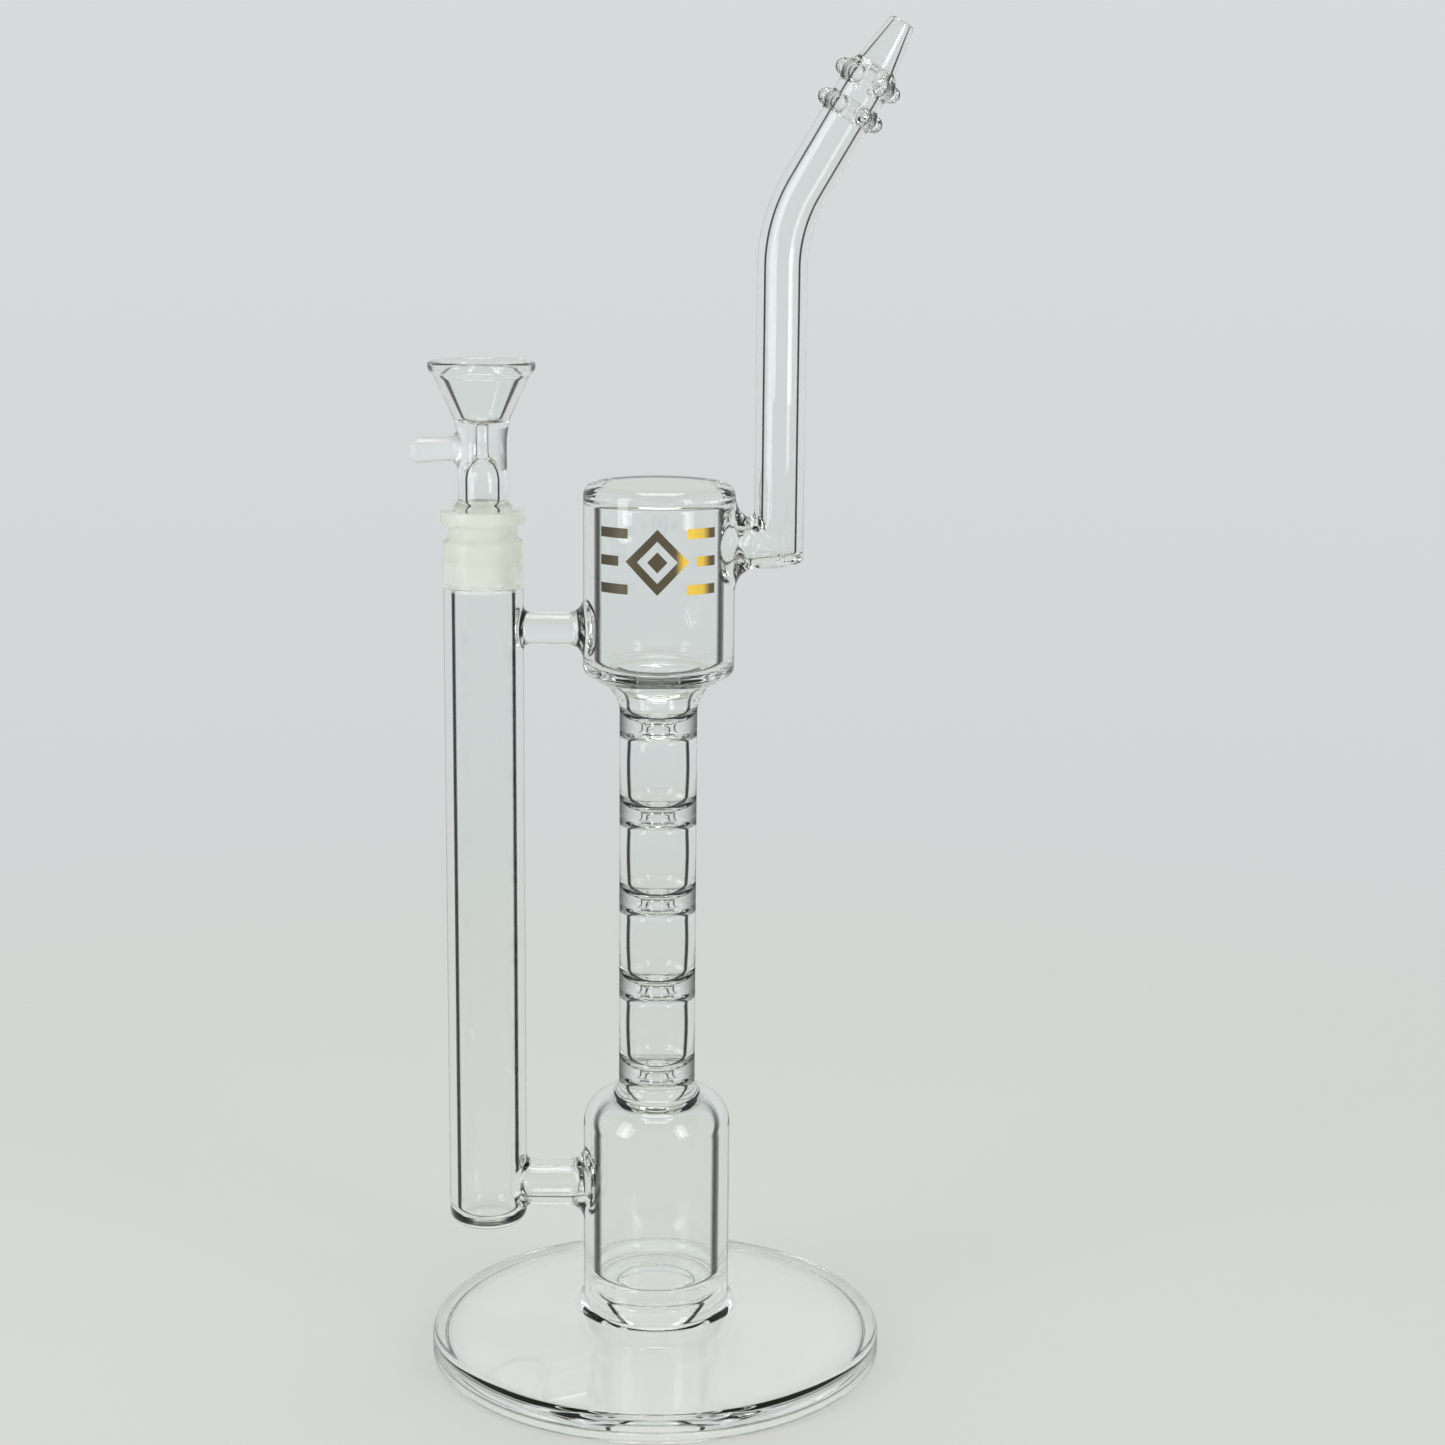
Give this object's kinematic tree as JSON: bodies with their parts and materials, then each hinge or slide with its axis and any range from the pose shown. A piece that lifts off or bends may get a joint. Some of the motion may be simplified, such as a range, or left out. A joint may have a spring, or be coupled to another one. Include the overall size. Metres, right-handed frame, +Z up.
{
  "type": "glass water pipe",
  "caption": "Tall clear glass water pipe with a domed foot, a pinched column, an upper can, a bent mouthpiece and a ground-glass bowl that lifts out.",
  "frame": {"origin": "centre of the circle that the foot stands on", "axes": "+Z up along the foot, chamber and column; +X towards the mouthpiece; -X towards the inlet tube and the bowl"},
  "size_m": [0.1589, 0.152, 0.4436],
  "materials": {
    "clear_glass": "fire-polished clear borosilicate glass with a faint grey-green tint",
    "ground_glass": "clear glass with a frosted, slightly yellowish ground taper",
    "milky_glass": "cloudy translucent glass rod, glossy",
    "fired_foil": "fired metallic transfer, dark bronze with a gold edge"
  },
  "bodies": {
    "pipe": {"foot_disc": "clear_glass", "chamber_floor": "clear_glass", "chamber_wall": "clear_glass", "chamber_shoulder": "clear_glass", "column_tube": "clear_glass", "restriction_web_1": "clear_glass", "restriction_web_2": "clear_glass", "restriction_web_3": "clear_glass", "restriction_web_4": "clear_glass", "restriction_web_5": "clear_glass", "can_funnel": "clear_glass", "can_wall": "clear_glass", "can_top": "clear_glass", "port_neck": "clear_glass", "port_weld": "clear_glass", "mouthpiece_tube": "clear_glass", "mouthpiece_end": "clear_glass", "maria_lower": "clear_glass", "beads_lower": "clear_glass", "maria_upper": "clear_glass", "beads_upper": "clear_glass", "mouth_tip": "clear_glass", "inlet_tube": "clear_glass", "inlet_bottom": "clear_glass", "arm": "clear_glass", "arm_weld_chamber": "clear_glass", "arm_weld_inlet": "clear_glass", "bridge_rod": "clear_glass", "bridge_weld_inlet": "clear_glass", "bridge_weld_can": "clear_glass", "socket": "ground_glass", "decal": "fired_foil"},
    "plug": {"ground_plug": "ground_glass"},
    "bowl": {"bowl_stem": "clear_glass", "bowl_cup": "clear_glass", "bowl_rim": "clear_glass", "bowl_handle": "milky_glass"}
  },
  "joints": [
    {"name": "bowl_lift", "type": "slide", "parent": "pipe", "child": "plug", "axis": [0, 0, 1], "range_m": [0, 0.045]},
    {"name": "bowl_turn", "type": "hinge", "parent": "plug", "child": "bowl", "pos_m": [-0.057, 0, 0.291], "axis": [0, 0, 1], "continuous": true}
  ]
}
